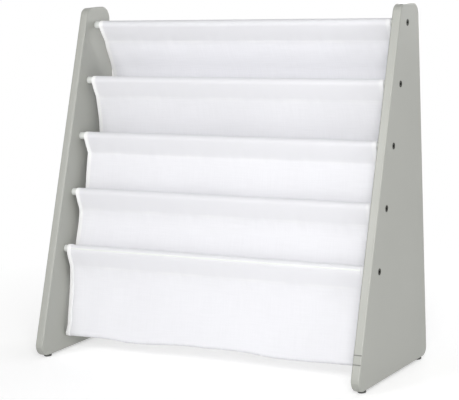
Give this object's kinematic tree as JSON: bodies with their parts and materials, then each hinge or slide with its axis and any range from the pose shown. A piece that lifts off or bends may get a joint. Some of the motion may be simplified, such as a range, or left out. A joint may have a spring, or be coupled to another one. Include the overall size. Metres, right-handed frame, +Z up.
{
  "type": "children's sling bookshelf",
  "caption": "Freestanding rack with sloping side panels, round rods and a white cloth sling whose tiered pockets hold picture books face out.",
  "frame": {"origin": "centre of the footprint on the floor, under the glides", "axes": "+X across the rack to its right as seen from the front, +Y from the sloping front to the upright back, +Z up"},
  "size_m": [0.635, 0.2656, 0.605],
  "materials": {
    "painted_board": "satin",
    "rod_paint": "satin",
    "zinc_steel": "satin",
    "black_steel": "satin",
    "glide_plastic": "matte",
    "white_cloth": "matte"
  },
  "bodies": {
    "root": {"left_side_panel": "painted_board", "right_side_panel": "painted_board", "left_front_glide": "glide_plastic", "left_back_glide": "glide_plastic", "right_front_glide": "glide_plastic", "right_back_glide": "glide_plastic", "rod_1": "rod_paint", "rod_2": "rod_paint", "rod_3": "rod_paint", "rod_4": "rod_paint", "rod_5": "rod_paint", "rod_1_left_insert": "zinc_steel", "rod_1_right_insert": "zinc_steel", "rod_2_left_insert": "zinc_steel", "rod_2_right_insert": "zinc_steel", "rod_3_left_insert": "zinc_steel", "rod_3_right_insert": "zinc_steel", "rod_4_left_insert": "zinc_steel", "rod_4_right_insert": "zinc_steel", "rod_5_left_insert": "zinc_steel", "rod_5_right_insert": "zinc_steel", "rod_1_left_screw": "black_steel", "rod_1_right_screw": "black_steel", "rod_2_left_screw": "black_steel", "rod_2_right_screw": "black_steel", "rod_3_left_screw": "black_steel", "rod_3_right_screw": "black_steel", "rod_4_left_screw": "black_steel", "rod_4_right_screw": "black_steel", "rod_5_left_screw": "black_steel", "rod_5_right_screw": "black_steel", "cloth_sleeve_1": "white_cloth", "cloth_sleeve_2": "white_cloth", "cloth_sleeve_3": "white_cloth", "cloth_sleeve_4": "white_cloth", "cloth_sleeve_5": "white_cloth", "cloth_pocket_1": "white_cloth", "cloth_pocket_2": "white_cloth", "cloth_pocket_3": "white_cloth", "cloth_pocket_4": "white_cloth"}
  },
  "joints": []
}
